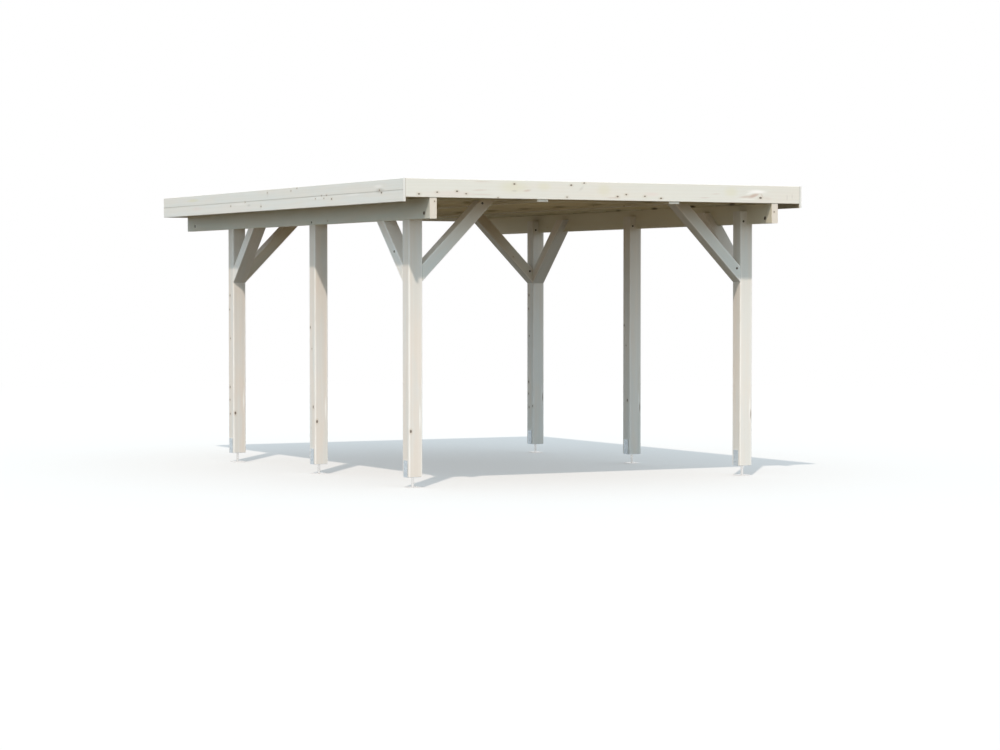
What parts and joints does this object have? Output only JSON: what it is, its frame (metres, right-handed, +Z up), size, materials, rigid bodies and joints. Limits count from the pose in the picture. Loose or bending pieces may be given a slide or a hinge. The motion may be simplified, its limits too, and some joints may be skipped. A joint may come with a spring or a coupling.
{
  "type": "carport",
  "caption": "Free-standing flat-roofed timber carport: square posts on steel feet, side beams, knee braces, rafters, boarded roof and pale fascia boards.",
  "frame": {"origin": "on the ground under the middle of the roof", "axes": "+X to the right across the front, +Y from the front to the back, +Z up"},
  "size_m": [3.687, 5.24, 2.436],
  "materials": {
    "planed_timber": "white-stained, matt",
    "fascia_timber": "white-stained, matt",
    "roof_timber": "thinly white-stained, matt",
    "roofing_felt": "mineral grit on bitumen",
    "galvanised_steel": "hot-dip galvanised"
  },
  "bodies": {
    "root": {"post_front_left": "planed_timber", "post_foot_front_left": "galvanised_steel", "post_middle_left": "planed_timber", "post_foot_middle_left": "galvanised_steel", "post_back_left": "planed_timber", "post_foot_back_left": "galvanised_steel", "side_beam_left": "planed_timber", "cross_brace_front_left": "planed_timber", "side_brace_front_left": "planed_timber", "cross_brace_back_left": "planed_timber", "side_brace_back_left": "planed_timber", "batten_left": "roof_timber", "fascia_left_upper": "fascia_timber", "fascia_left_lower": "fascia_timber", "post_front_right": "planed_timber", "post_foot_front_right": "galvanised_steel", "post_middle_right": "planed_timber", "post_foot_middle_right": "galvanised_steel", "post_back_right": "planed_timber", "post_foot_back_right": "galvanised_steel", "side_beam_right": "planed_timber", "cross_brace_front_right": "planed_timber", "side_brace_front_right": "planed_timber", "cross_brace_back_right": "planed_timber", "side_brace_back_right": "planed_timber", "batten_right": "roof_timber", "fascia_right_upper": "fascia_timber", "fascia_right_lower": "fascia_timber", "rafter_1": "roof_timber", "rafter_2": "roof_timber", "rafter_3": "roof_timber", "rafter_4": "roof_timber", "rafter_5": "roof_timber", "rafter_6": "roof_timber", "rafter_7": "roof_timber", "rafter_8": "roof_timber", "rafter_9": "roof_timber", "brace_tie_front": "roof_timber", "brace_tie_back": "roof_timber", "roof_boards": "roof_timber", "roof_felt": "roofing_felt", "fascia_front": "fascia_timber", "fascia_back_upper": "fascia_timber", "fascia_back_lower": "fascia_timber"}
  },
  "joints": []
}
